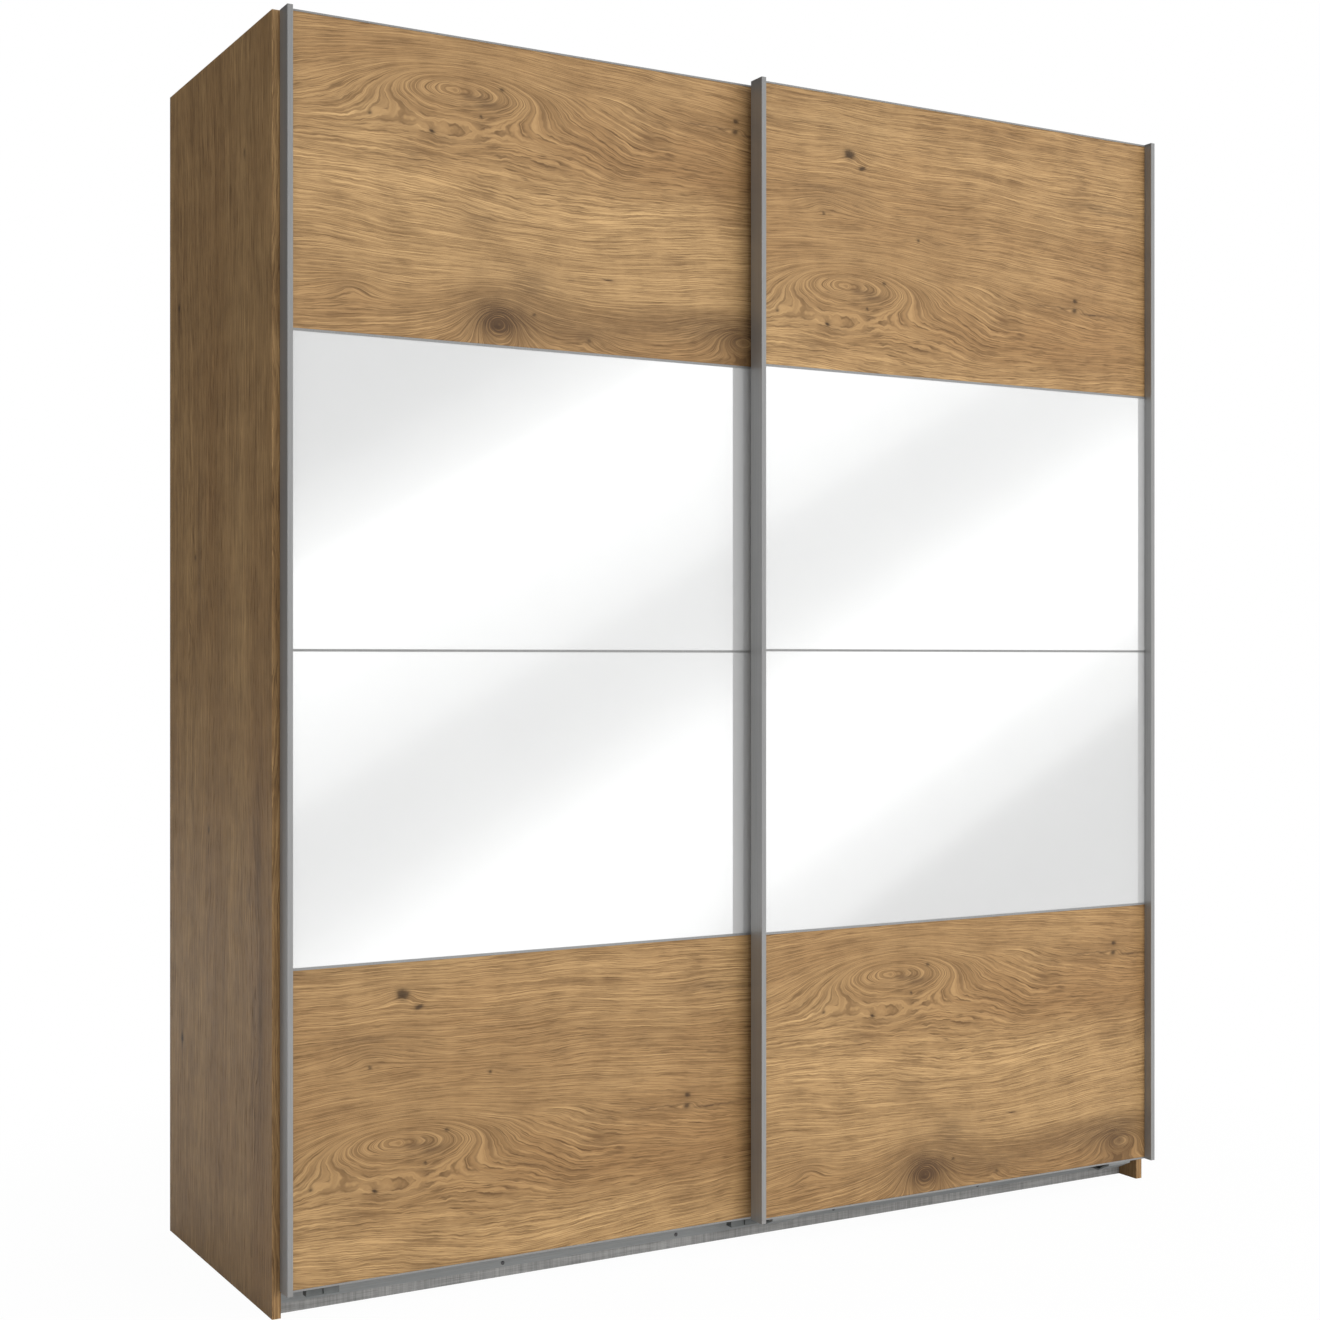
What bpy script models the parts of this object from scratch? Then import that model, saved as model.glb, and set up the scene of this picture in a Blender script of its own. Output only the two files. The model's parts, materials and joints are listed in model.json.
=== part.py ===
"""Sliding door wardrobe: oak-decor boards, four mirrors and aluminium grip profiles.

Metres, +Z up. The origin is on the floor, under the middle of the bounding box, and the doors
face -Y. The left door is the inner one: it hangs just in front of the carcass. The right door is
the outer one and hangs in front of it. Both run along X on wheels, on one rail with two tracks
on top of the carcass, and hooks under the doors run along a rail on the plinth.
"""

import math
from dataclasses import dataclass

import bmesh
import bpy
from mathutils import Vector

# Overall sizes
WIDTH = 1.832  # across the outer faces of the side panels
HEIGHT = 2.100  # of the side panels
CARCASS_DEPTH = 0.581  # of the left side panel
RIGHT_PANEL_REACH = 0.026  # how much further forward the right side panel comes

# Gaps
FIT = 0.0003  # between pieces that touch
RUNNING = 0.001  # between pieces that slide past each other

# Carcass
BOARD = 0.015
EDGE_ROUNDING = 0.0008
INTERIOR_SETBACK = 0.0236  # front edges of the inner boards, behind the left panel's front edge
PLINTH_HEIGHT = 0.060
TOP_RECESS = 0.050  # top panels, below the side panels' upper ends
BACK_THICKNESS = 0.003
BACK_INSET = 0.0015  # back panels, in front of the side panels' rear edges
BACK_REBATE = 0.006  # how far the back panels enter the side panels
BACK_FLOOR_GAP = 0.030
JOINT_STRIP_WIDTH = 0.024
REAR_PLINTH_INSET = 0.040
UPPER_SPACE = 0.305  # clear height between the shelves and the top panels
SHELF_SETBACK = 0.020

# Clothes rails: oval tubes, held in open cradles
TUBE_WIDTH = 0.015
TUBE_HEIGHT = 0.030
TUBE_WALL = 0.0012
TUBE_DROP = 0.060  # middle of the tube, below the shelf
CRADLE_WALL = 0.0025
CRADLE_LENGTH = 0.014
ARC_STEPS = 8

# Doors
LEFT_DOOR_INSET = 0.0117  # its outer edge, inside the left panel's outer face
RIGHT_DOOR_INSET = 0.0066
DOOR_OVERLAP = 0.0685
INNER_DOOR_GAP = 0.004  # between the left panel's front edge and the inner door
DOOR_STEP = 0.0305  # from the inner door's face to the outer door's face
DOOR_TOP_DROP = 0.0005
DOOR_FLOOR_GAP = 0.0448
OUTER_DOOR_LIFT = 0.0024
LOWER_OAK_HEIGHT = 0.5169
LOWER_MIRROR_HEIGHT = 0.5111
UPPER_MIRROR_HEIGHT = 0.5140
INFILL = 0.008  # thickness of the oak boards, and of a mirror with its backing
MIRROR = 0.004

# Upright profiles of the doors
GRIP_WIDTH = 0.0097
GRIP_PROJECTION = 0.0192  # in front of the boards
OVERLAP_PROJECTION = 0.0112  # of the slim profile behind the outer door
PROFILE_REAR = 0.017  # behind the boards' front faces
PROFILE_WALL = 0.0016
PROFILE_RETURN = 0.006
PROFILE_ROUNDING = 0.0008

# Horizontal strips of the doors
DIVIDER_HEIGHT = 0.004
DIVIDER_WEB = 0.0012
STRIP_PROUD = 0.0011  # in front of the boards
STRIP_END_INSET = 0.0006
EDGE_LIP_HEIGHT = 0.003

# Running rail on top of the carcass
RAIL_BASE = 0.003
RAIL_LIP_WIDTH = 0.002
RAIL_LIP_HEIGHT = 0.006
RIDGE_WIDTH = 0.003
RIDGE_HEIGHT = 0.0057
INNER_TRACK_SETBACK = 0.0485  # middle of the ridge, behind the left panel's front edge
TRACK_SPACING = 0.031
RAIL_FRONT_MARGIN = 0.0235
RAIL_REAR_MARGIN = 0.018

# Wheels and the carriages that hold them
WHEEL_RADIUS = 0.0135
WHEEL_GROOVE_DEPTH = 0.0015
WHEEL_WIDTH = 0.010
WHEEL_CHAMFER = 0.0006
WHEEL_STEPS = 32
AXLE_RADIUS = 0.003
AXLE_STEPS = 24
PLATE = 0.0025
CARRIAGE_LENGTH = 0.060
CARRIAGE_INSET = 0.060  # from the door's edge
CARRIAGE_LEG = 0.115  # below the inner door's top
WHEEL_PLATE_GAP = 0.0015
AXLE_TIP = 0.001
PLATE_BELOW_AXLE = 0.0093
STOP_LENGTH = 0.030
STOP_GAP = 0.005
STOP_HEIGHT = 0.026
STOP_WIDTH = 0.014

# Guide rail on the plinth
GUIDE_RAIL_WALL = 0.002
GUIDE_RAIL_LOW = 0.017
GUIDE_RAIL_TOP = 0.058
GUIDE_RAIL_REACH = 0.0235  # from its face on the plinth to its front fin
FIN = 0.0015
INNER_FIN_LOW = 0.040
OUTER_FIN_LOW = 0.036
OUTER_FIN_REACH = 0.0093  # from the rail's face to the outer door's fin

# Guides on the doors
GUIDE_LENGTH = 0.056
GUIDE_INSET = 0.0411  # from the door's edge
GUIDE_LOW = 0.0315
GUIDE_TOP = 0.086
GUIDE_WALL = 0.003
GUIDE_HOOK_TOP = 0.051
GUIDE_NOTCH = 0.003
HOOK_LOW = 0.0262
HOOK_PLATE = 0.0028
HOOK_WIDTH = 0.005

TOTAL_DEPTH = CARCASS_DEPTH + INNER_DOOR_GAP + PROFILE_REAR + GRIP_PROJECTION + DOOR_STEP
BACK_Y = TOTAL_DEPTH / 2
FRONT_Y = BACK_Y - CARCASS_DEPTH
INNER_X = WIDTH / 2 - BOARD
INTERIOR_Y = FRONT_Y + INTERIOR_SETBACK
BACK_PANEL_Y = BACK_Y - BACK_INSET - BACK_THICKNESS
INTERIOR_BACK_Y = BACK_PANEL_Y - FIT
TOP_Z = HEIGHT - TOP_RECESS
SHELF_Z = TOP_Z - BOARD - UPPER_SPACE - BOARD  # the shelves' undersides
FLOOR_Z = PLINTH_HEIGHT + BOARD
INNER_TRACK_Y = FRONT_Y + INNER_TRACK_SETBACK
OUTER_TRACK_Y = INNER_TRACK_Y + TRACK_SPACING
RAIL_TOP_Z = TOP_Z + FIT + RAIL_BASE
RIDGE_Z = RAIL_TOP_Z + RIDGE_HEIGHT
WHEEL_GROOVE_RADIUS = WHEEL_RADIUS - WHEEL_GROOVE_DEPTH  # the wheels roll on this
AXLE_Z = RIDGE_Z + FIT + WHEEL_GROOVE_RADIUS
GUIDE_RAIL_Y = INTERIOR_Y - FIT - GUIDE_RAIL_WALL  # the rail's face
INNER_FIN_Y = GUIDE_RAIL_Y - GUIDE_RAIL_REACH
OUTER_FIN_Y = GUIDE_RAIL_Y - OUTER_FIN_REACH
DOOR_WIDTH = (WIDTH - LEFT_DOOR_INSET - RIGHT_DOOR_INSET + DOOR_OVERLAP) / 2
DOOR_HEIGHT = HEIGHT - DOOR_TOP_DROP - DOOR_FLOOR_GAP
INNER_FACE_Y = FRONT_Y - INNER_DOOR_GAP - PROFILE_REAR
OUTER_FACE_Y = INNER_FACE_Y - DOOR_STEP
EXTRUDED_ALONG_X = (math.pi / 2, 0.0, math.pi / 2)  # an outline's x, y become world y, z


@dataclass
class Door:
    name: str
    left: float  # x of its left edge
    face: float  # y of its boards' front faces
    bottom: float  # z of its profiles' lower ends
    right_projection: float
    track: float  # y of its track
    flange: float  # z of the carriages' flanges, at their undersides

    @property
    def right(self):
        return self.left + DOOR_WIDTH

    @property
    def top(self):
        return self.bottom + DOOR_HEIGHT

    @property
    def back(self):
        """y just behind the boards, where the hardware is fixed."""
        return self.face + INFILL + FIT


def clear_scene():
    for obj in list(bpy.data.objects):
        bpy.data.objects.remove(obj, do_unlink=True)


def make_collection(name, hidden=False):
    collection = bpy.data.collections.new(name)
    bpy.context.scene.collection.children.link(collection)
    collection.hide_render = hidden
    return collection


def make_material(name, colour, roughness, metallic=0.0):
    material = bpy.data.materials.new(name)
    material.use_nodes = True
    shader = material.node_tree.nodes["Principled BSDF"]
    shader.inputs["Base Color"].default_value = (*colour, 1.0)
    shader.inputs["Roughness"].default_value = roughness
    shader.inputs["Metallic"].default_value = metallic
    material.diffuse_color = (*colour, 1.0)
    return material


clear_scene()
WARDROBE = make_collection("sliding_door_wardrobe")
HELPERS = make_collection("helpers", hidden=True)

OAK_FRONT = make_material("oak_front", (0.38, 0.24, 0.115), 0.45)
OAK_SIDE = make_material("oak_side", (0.33, 0.21, 0.105), 0.45)
LINEN = make_material("linen_board", (0.30, 0.29, 0.27), 0.55)
BACKING = make_material("hardboard", (0.34, 0.33, 0.31), 0.6)
ALUMINIUM = make_material("aluminium", (0.52, 0.53, 0.54), 0.35, 1.0)
RAIL_METAL = make_material("rail_metal", (0.45, 0.46, 0.48), 0.4, 1.0)
STEEL = make_material("zinc_steel", (0.48, 0.49, 0.50), 0.35, 1.0)
CHROME = make_material("chrome_tube", (0.75, 0.75, 0.76), 0.15, 1.0)
GLASS_MIRROR = make_material("mirror", (0.92, 0.93, 0.93), 0.02, 1.0)
DARK_PLASTIC = make_material("dark_plastic", (0.05, 0.055, 0.055), 0.5)
NYLON = make_material("nylon", (0.62, 0.62, 0.60), 0.4)
RUBBER = make_material("rubber", (0.03, 0.03, 0.03), 0.75)


def finish_object(obj, material, parent=None):
    """Gives a piece its material, its place in the collection and, on a door, its parent."""
    obj.data.materials.append(material)
    WARDROBE.objects.link(obj)
    if parent is not None:
        obj.parent = parent
        obj.matrix_parent_inverse.translation = -parent.location
    return obj


def cube_mesh(name, size):
    mesh = bpy.data.meshes.new(name)
    bm = bmesh.new()
    bmesh.ops.create_cube(bm, size=1.0)
    bmesh.ops.scale(bm, vec=size, verts=bm.verts)
    bm.to_mesh(mesh)
    bm.free()
    return mesh


def add_board(name, low, high, material, parent=None, rounding=EDGE_ROUNDING):
    """A box between two corners, with slightly rounded edges."""
    low, high = Vector(low), Vector(high)
    obj = bpy.data.objects.new(name, cube_mesh(name, high - low))
    obj.location = (low + high) / 2
    if rounding:
        bevel = obj.modifiers.new("edges", "BEVEL")
        bevel.width = rounding
        bevel.segments = 2
    return finish_object(obj, material, parent)


def signed_area(points):
    pairs = zip(points, points[1:] + points[:1])
    return sum(a[0] * b[1] - b[0] * a[1] for a, b in pairs) / 2


def rounded_corner(before, corner, after, radius, steps=3):
    """Points of the arc that replaces a corner of an outline."""
    corner = Vector(corner)
    towards_before = (Vector(before) - corner).normalized()
    towards_after = (Vector(after) - corner).normalized()
    half_angle = towards_before.angle(towards_after) / 2
    start = corner + towards_before * radius / math.tan(half_angle)
    end = corner + towards_after * radius / math.tan(half_angle)
    centre = corner + (towards_before + towards_after).normalized() * radius / math.sin(half_angle)
    arc = []
    for step in range(steps + 1):
        spoke = (start - centre).lerp(end - centre, step / steps).normalized()
        arc.append(tuple(centre + spoke * radius))
    return arc


def round_corners(points, radius, chosen):
    """The outline with the corners whose places in the list are chosen rounded."""
    result = []
    for place, point in enumerate(points):
        if place in chosen:
            after = points[(place + 1) % len(points)]
            result += rounded_corner(points[place - 1], point, after, radius)
        else:
            result.append(point)
    return result


def rectangle(low, high):
    return [low, (high[0], low[1]), high, (low[0], high[1])]


def outline_curve(name, outlines, thickness):
    """A flat outline, with any further outlines as holes, thickened along its own z."""
    curve = bpy.data.curves.new(name, "CURVE")
    curve.dimensions = "2D"
    curve.fill_mode = "BOTH"
    curve.extrude = thickness / 2
    for points in outlines:
        ordered = points if signed_area(points) > 0 else points[::-1]
        spline = curve.splines.new("POLY")
        spline.points.add(len(ordered) - 1)
        for slot, (x, y) in zip(spline.points, ordered):
            slot.co = (x, y, 0.0, 1.0)
        spline.use_cyclic_u = True
    return curve


def add_upright(name, outlines, low, high, material, parent=None, place=(0.0, 0.0)):
    """A section drawn in plan, extruded from z low to z high."""
    obj = bpy.data.objects.new(name, outline_curve(name, outlines, high - low))
    obj.location = (*place, (low + high) / 2)
    return finish_object(obj, material, parent)


def add_crosswise(name, outlines, low, high, material, parent=None):
    """A section drawn in y and z, extruded from x low to x high."""
    obj = bpy.data.objects.new(name, outline_curve(name, outlines, high - low))
    obj.rotation_euler = EXTRUDED_ALONG_X
    obj.location.x = (low + high) / 2
    return finish_object(obj, material, parent)


def as_mesh(obj):
    """The same piece as a mesh, so that Boolean modifiers can work on it."""
    bpy.context.view_layer.update()
    graph = bpy.context.evaluated_depsgraph_get()
    mesh = bpy.data.meshes.new_from_object(obj.evaluated_get(graph))
    bm = bmesh.new()
    bm.from_mesh(mesh)
    bmesh.ops.remove_doubles(bm, verts=bm.verts, dist=1e-6)
    bm.to_mesh(mesh)
    bm.free()
    name, place, parent = obj.name, obj.matrix_world.copy(), obj.parent
    bpy.data.objects.remove(obj, do_unlink=True)
    solid = bpy.data.objects.new(name, mesh)
    WARDROBE.objects.link(solid)
    solid.parent = parent
    solid.matrix_world = place
    return solid


def add_helper(name, mesh, place, rotation=(0.0, 0.0, 0.0)):
    helper = bpy.data.objects.new(name, mesh)
    helper.location = place
    helper.rotation_euler = rotation
    helper.hide_render = True
    helper.display_type = "WIRE"
    HELPERS.objects.link(helper)
    return helper


def combine(obj, helper, operation):
    modifier = obj.modifiers.new(helper.name, "BOOLEAN")
    modifier.operation = operation
    modifier.solver = "EXACT"
    modifier.object = helper


def add_side_panel(name, side, front):
    """A side panel, with a rebate for the back panel along its inner rear edge."""
    outer, inner = side * WIDTH / 2, side * INNER_X
    rebate_x = inner + side * (BACK_REBATE + FIT)
    rebate_y = BACK_PANEL_Y - FIT
    outline = [
        (outer, front),
        (inner, front),
        (inner, rebate_y),
        (rebate_x, rebate_y),
        (rebate_x, BACK_Y),
        (outer, BACK_Y),
    ]
    outline = round_corners(outline, EDGE_ROUNDING, {0, 1, 5})
    add_upright(name, [outline], 0.0, HEIGHT, OAK_SIDE)


def add_partition():
    """The middle wall, notched at its foot for the two plinth boards."""
    front_plinth = INTERIOR_Y + BOARD + FIT
    rear_plinth = INTERIOR_BACK_Y - REAR_PLINTH_INSET - BOARD - FIT
    behind_plinth = INTERIOR_BACK_Y - REAR_PLINTH_INSET + FIT
    outline = [
        (INTERIOR_Y, TOP_Z),
        (INTERIOR_Y, PLINTH_HEIGHT),
        (front_plinth, PLINTH_HEIGHT),
        (front_plinth, 0.0),
        (rear_plinth, 0.0),
        (rear_plinth, PLINTH_HEIGHT),
        (behind_plinth, PLINTH_HEIGHT),
        (behind_plinth, 0.0),
        (INTERIOR_BACK_Y, 0.0),
        (INTERIOR_BACK_Y, TOP_Z),
    ]
    add_crosswise("centre_partition", [outline], -BOARD / 2, BOARD / 2, LINEN)


def add_back_panels():
    for name, side in (("back_panel_left", -1), ("back_panel_right", 1)):
        near = side * (DIVIDER_WEB / 2 + FIT)
        far = side * (INNER_X + BACK_REBATE)
        low = (min(near, far), BACK_PANEL_Y, BACK_FLOOR_GAP)
        high = (max(near, far), BACK_PANEL_Y + BACK_THICKNESS, TOP_Z)
        add_board(name, low, high, BACKING, rounding=0.0)
    half, web = JOINT_STRIP_WIDTH / 2, DIVIDER_WEB / 2
    cap = BACK_Y - BACK_INSET + FIT
    outline = [(-half, cap), (-web, cap), (-web, BACK_PANEL_Y), (web, BACK_PANEL_Y)]
    outline += [(web, cap), (half, cap), (half, BACK_Y), (-half, BACK_Y)]
    add_upright("back_joint_strip", [outline], BACK_FLOOR_GAP, TOP_Z, NYLON)


def add_carcass():
    add_side_panel("side_panel_left", -1, FRONT_Y)
    add_side_panel("side_panel_right", 1, FRONT_Y - RIGHT_PANEL_REACH)
    add_partition()
    add_back_panels()
    reach = INNER_X - FIT
    plinth_top = PLINTH_HEIGHT - FIT
    for name, front in (
        ("plinth_front", INTERIOR_Y),
        ("plinth_rear", INTERIOR_BACK_Y - REAR_PLINTH_INSET - BOARD),
    ):
        add_board(name, (-reach, front, 0.0), (reach, front + BOARD, plinth_top), LINEN)
    shelf_front = INTERIOR_Y + SHELF_SETBACK
    for side_name, side in (("left", -1), ("right", 1)):
        near, far = side * (BOARD / 2 + FIT), side * reach
        low_x, high_x = min(near, far), max(near, far)
        for kind, front, low in (
            ("bottom_panel", INTERIOR_Y, PLINTH_HEIGHT),
            ("shelf", shelf_front, SHELF_Z),
            ("top_panel", INTERIOR_Y, TOP_Z - BOARD),
        ):
            low_corner = (low_x, front, low)
            high_corner = (high_x, INTERIOR_BACK_Y, low + BOARD)
            add_board(f"{kind}_{side_name}", low_corner, high_corner, LINEN)
        add_clothes_rail(side_name, low_x, high_x)


def half_circle(centre, radius, start):
    """Points of a half circle, turning left from the start angle."""
    turns = [start + math.pi * step / ARC_STEPS for step in range(ARC_STEPS + 1)]
    return [(centre[0] + radius * math.cos(t), centre[1] + radius * math.sin(t)) for t in turns]


def oval(centre, radius, straight):
    """An upright oval: two half circles joined by straight sides."""
    above = (centre[0], centre[1] + straight)
    below = (centre[0], centre[1] - straight)
    return half_circle(above, radius, 0.0) + half_circle(below, radius, math.pi)


def add_clothes_rail(side_name, low_x, high_x):
    """An oval tube across one compartment, and the two cradles that it lies in."""
    centre = ((INTERIOR_Y + INTERIOR_BACK_Y) / 2, SHELF_Z - TUBE_DROP)
    radius = TUBE_WIDTH / 2
    straight = TUBE_HEIGHT / 2 - radius
    tube = [oval(centre, radius, straight), oval(centre, radius - TUBE_WALL, straight)]
    add_crosswise(f"clothes_rail_{side_name}", tube, low_x + FIT, high_x - FIT, CHROME)
    inner, outer = radius + FIT, radius + FIT + CRADLE_WALL
    below = (centre[0], centre[1] - straight)
    rim = centre[1] + straight
    cradle = [(centre[0] - outer, rim)] + half_circle(below, outer, math.pi)
    cradle += [(centre[0] + outer, rim), (centre[0] + inner, rim)]
    cradle += half_circle(below, inner, math.pi)[::-1] + [(centre[0] - inner, rim)]
    ends = {"left": low_x, "right": high_x - CRADLE_LENGTH}
    for end_name, start in ends.items():
        name = f"clothes_rail_{side_name}_cradle_{end_name}"
        add_crosswise(name, [cradle], start, start + CRADLE_LENGTH, DARK_PLASTIC)


def add_running_rail():
    """The rail on top: a base with a lip at each edge and a ridge for each door's wheels."""
    low, high = TOP_Z + FIT, RAIL_TOP_Z
    front = INNER_TRACK_Y - RAIL_FRONT_MARGIN
    rear = OUTER_TRACK_Y + RAIL_REAR_MARGIN
    lip = high + RAIL_LIP_HEIGHT
    outline = [(front, low), (rear, low), (rear, lip), (rear - RAIL_LIP_WIDTH, lip)]
    outline.append((rear - RAIL_LIP_WIDTH, high))
    for track in (OUTER_TRACK_Y, INNER_TRACK_Y):
        near, far = track - RIDGE_WIDTH / 2, track + RIDGE_WIDTH / 2
        outline += [(far, high), (far, RIDGE_Z), (near, RIDGE_Z), (near, high)]
    outline += [(front + RAIL_LIP_WIDTH, high), (front + RAIL_LIP_WIDTH, lip), (front, lip)]
    add_crosswise("running_rail", [outline], FIT - INNER_X, INNER_X - FIT, RAIL_METAL)


def add_rail_stop(name, track, start):
    """A buffer block that straddles a ridge and meets the carriage of the closed door."""
    half, slot = STOP_WIDTH / 2, RIDGE_WIDTH / 2 + FIT
    low, slot_top = RAIL_TOP_Z + FIT, RIDGE_Z + FIT
    top = low + STOP_HEIGHT
    outline = [(track - half, low), (track - slot, low), (track - slot, slot_top)]
    outline += [(track + slot, slot_top), (track + slot, low), (track + half, low)]
    outline += [(track + half, top), (track - half, top)]
    outline = round_corners(outline, EDGE_ROUNDING, {6, 7})
    add_crosswise(name, [outline], start, start + STOP_LENGTH, RUBBER)


def add_guide_rail():
    """The rail on the plinth: a flange, a web and a fin hanging down for each door's guides."""
    rear = GUIDE_RAIL_Y + GUIDE_RAIL_WALL
    web = GUIDE_RAIL_TOP - GUIDE_RAIL_WALL
    outline = [(rear, GUIDE_RAIL_LOW), (rear, GUIDE_RAIL_TOP), (INNER_FIN_Y, GUIDE_RAIL_TOP)]
    outline += [(INNER_FIN_Y, INNER_FIN_LOW), (INNER_FIN_Y + FIN, INNER_FIN_LOW)]
    outline += [(INNER_FIN_Y + FIN, web), (OUTER_FIN_Y, web)]
    outline += [(OUTER_FIN_Y, OUTER_FIN_LOW), (OUTER_FIN_Y + FIN, OUTER_FIN_LOW)]
    outline += [(OUTER_FIN_Y + FIN, web), (GUIDE_RAIL_Y, web), (GUIDE_RAIL_Y, GUIDE_RAIL_LOW)]
    add_crosswise("guide_rail", [outline], FIT - INNER_X, INNER_X - FIT, RAIL_METAL)


def profile_section(projection, side):
    """Section of an upright profile: x from the door's edge inwards, y from the boards' faces.

    A hollow bar stands in front of the boards, a groove holds their edges, and the channel
    behind the groove takes a dust brush. The side is 1 for a left profile, -1 for a right one.
    """
    front, rear = -projection, PROFILE_REAR
    groove_floor = PROFILE_WALL + FIT
    lip_front = INFILL + FIT
    lip_rear = lip_front + PROFILE_WALL
    outer = [
        (0.0, front),
        (GRIP_WIDTH, front),
        (GRIP_WIDTH, -FIT),
        (groove_floor, -FIT),
        (groove_floor, lip_front),
        (GRIP_WIDTH, lip_front),
        (GRIP_WIDTH, lip_rear),
        (PROFILE_WALL, lip_rear),
        (PROFILE_WALL, rear - PROFILE_WALL),
        (PROFILE_RETURN, rear - PROFILE_WALL),
        (PROFILE_RETURN, rear),
        (0.0, rear),
    ]
    outer = round_corners(outer, PROFILE_ROUNDING, {0, 1})
    low = (PROFILE_WALL, front + PROFILE_WALL)
    high = (GRIP_WIDTH - PROFILE_WALL, -FIT - PROFILE_WALL)
    return [[(side * x, y) for x, y in points] for points in (outer, rectangle(low, high))]


def add_profiles(door, parent):
    for side_name, edge, side, projection in (
        ("left", door.left, 1, GRIP_PROJECTION),
        ("right", door.right, -1, door.right_projection),
    ):
        section = profile_section(projection, side)
        name = f"{door.name}_profile_{side_name}"
        place = (edge, door.face)
        add_upright(name, section, door.bottom, door.top, ALUMINIUM, parent, place)


def add_edge_strips(door, parent):
    """The angle strips that cap the boards at the top and at the bottom of the door."""
    low_x = door.left + GRIP_WIDTH + FIT
    high_x = door.right - GRIP_WIDTH - FIT
    front, back = door.face - STRIP_PROUD, door.face + INFILL
    for name, end, inwards in (
        ("edge_top", door.top - STRIP_END_INSET, -1),
        ("edge_bottom", door.bottom + STRIP_END_INSET, 1),
    ):
        flat, lip = end + inwards * DIVIDER_WEB, end + inwards * EDGE_LIP_HEIGHT
        outline = [(front, end), (back, end), (back, flat)]
        outline += [(door.face - FIT, flat), (door.face - FIT, lip), (front, lip)]
        add_crosswise(f"{door.name}_{name}", [outline], low_x, high_x, ALUMINIUM, parent)


def add_divider(door, parent, name, height, depth, rear_flange):
    """A strip between two fields: a web of the fields' thickness and a flange over their edges."""
    low_x = door.left + GRIP_WIDTH + FIT
    high_x = door.right - GRIP_WIDTH - FIT
    half, web = DIVIDER_HEIGHT / 2, DIVIDER_WEB / 2
    front, seat = door.face - STRIP_PROUD, door.face - FIT
    rear = door.face + depth
    outline = [(rear, height + web), (seat, height + web), (seat, height + half)]
    outline += [(front, height + half), (front, height - half), (seat, height - half)]
    outline += [(seat, height - web), (rear, height - web)]
    if rear_flange:
        lip, back = rear + FIT, rear + FIT + DIVIDER_WEB
        outline[-1] = (lip, height - web)
        outline += [(lip, height - half), (back, height - half), (back, height + half)]
        outline += [(lip, height + half), (lip, height + web)]
        outline = outline[1:]
    full_name = f"{door.name}_divider_{name}"
    add_crosswise(full_name, [outline], low_x, high_x, ALUMINIUM, parent)


def add_fields(door, parent):
    """The two oak boards, the two mirrors with their backing, and the strips between them."""
    lower = door.bottom + LOWER_OAK_HEIGHT
    middle = lower + LOWER_MIRROR_HEIGHT
    upper = middle + UPPER_MIRROR_HEIGHT
    edge = DIVIDER_WEB / 2 + FIT
    end = STRIP_END_INSET + DIVIDER_WEB + FIT
    low_x = door.left + PROFILE_WALL + 2 * FIT
    high_x = door.right - PROFILE_WALL - 2 * FIT
    front, back = door.face, door.face + INFILL
    behind_mirror = front + MIRROR
    for name, material, near, far, low, high in (
        ("oak_lower", OAK_FRONT, front, back, door.bottom + end, lower - edge),
        ("oak_upper", OAK_FRONT, front, back, upper + edge, door.top - end),
        ("mirror_lower", GLASS_MIRROR, front, behind_mirror, lower + edge, middle - edge),
        ("mirror_upper", GLASS_MIRROR, front, behind_mirror, middle + edge, upper - edge),
        ("mirror_backing", BACKING, behind_mirror + FIT, back, lower + edge, upper - edge),
    ):
        low_corner, high_corner = (low_x, near, low), (high_x, far, high)
        full_name = f"{door.name}_{name}"
        add_board(full_name, low_corner, high_corner, material, parent, rounding=0.0)
    add_divider(door, parent, "lower", lower, INFILL, rear_flange=True)
    add_divider(door, parent, "middle", middle, MIRROR, rear_flange=False)
    add_divider(door, parent, "upper", upper, INFILL, rear_flange=True)


def add_wheel(door, parent, name, middle):
    """A grooved wheel, turned about its axle, with its origin on the joint's axis."""
    half, groove = WHEEL_WIDTH / 2, RIDGE_WIDTH / 2 + FIT
    flank = groove + WHEEL_GROOVE_DEPTH / 2
    bore = AXLE_RADIUS + FIT
    shoulder = WHEEL_RADIUS - WHEEL_CHAMFER
    turned = [(shoulder, half), (WHEEL_RADIUS, half - WHEEL_CHAMFER), (WHEEL_RADIUS, flank)]
    turned += [(WHEEL_GROOVE_RADIUS, groove), (WHEEL_GROOVE_RADIUS, -groove)]
    turned += [(WHEEL_RADIUS, -flank), (WHEEL_RADIUS, WHEEL_CHAMFER - half), (shoulder, -half)]
    turned += [(bore, -half), (bore, half)]
    mesh = bpy.data.meshes.new(name)
    ring = [(place, (place + 1) % len(turned)) for place in range(len(turned))]
    mesh.from_pydata([(radius, 0.0, along) for radius, along in turned], ring, [])
    wheel = bpy.data.objects.new(name, mesh)
    wheel.rotation_euler = (-math.pi / 2, 0.0, 0.0)
    wheel.location = (middle, door.track, AXLE_Z)
    screw = wheel.modifiers.new("turned", "SCREW")
    screw.axis = "Z"
    screw.steps = WHEEL_STEPS
    screw.render_steps = WHEEL_STEPS
    screw.use_merge_vertices = True
    screw.merge_threshold = 1e-6
    screw.use_smooth_shade = False
    finish_object(wheel, NYLON, parent)


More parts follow.
